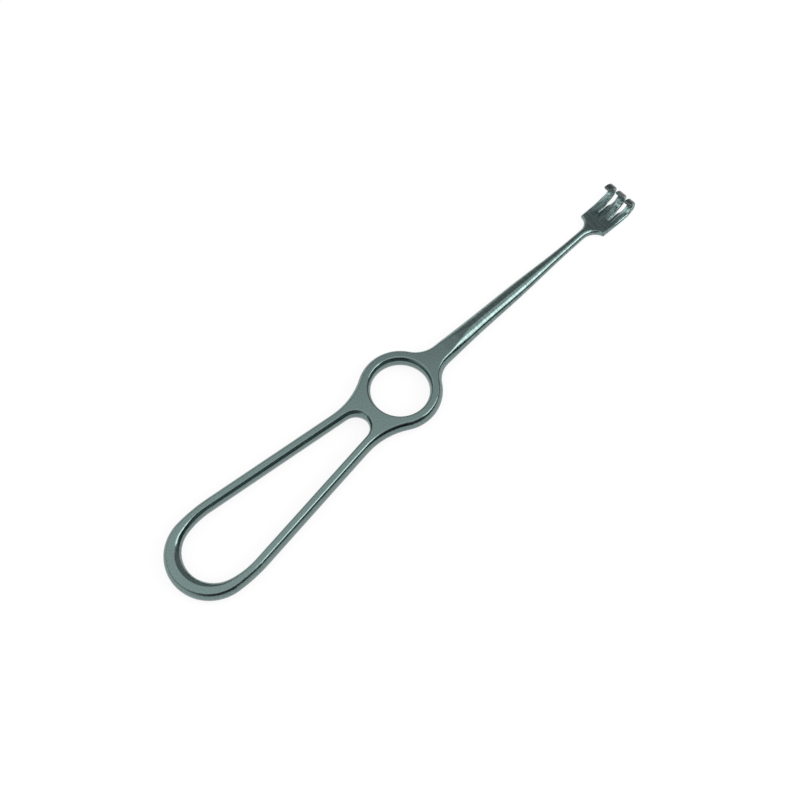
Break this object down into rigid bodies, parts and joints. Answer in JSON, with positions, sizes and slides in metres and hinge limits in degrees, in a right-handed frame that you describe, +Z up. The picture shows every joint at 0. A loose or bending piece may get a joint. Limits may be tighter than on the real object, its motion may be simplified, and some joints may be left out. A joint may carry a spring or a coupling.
{
  "type": "surgical retractor",
  "caption": "Slim one-piece hand retractor with a long grip loop, a finger ring, a tapering shank and a small flat blade cut into blunt up-curled prongs.",
  "frame": {"origin": "middle of the bounding box at its underside, where the instrument lies on a flat surface", "axes": "+X along the instrument from the grip loop to the hooks, +Y to its left, +Z up, the way the hooks curl"},
  "size_m": [0.2198, 0.0324, 0.0088],
  "materials": {
    "steel": "satin, ground and lightly brushed, with a faint green-grey cast"
  },
  "bodies": {
    "root": {"retractor": "steel"}
  },
  "joints": []
}
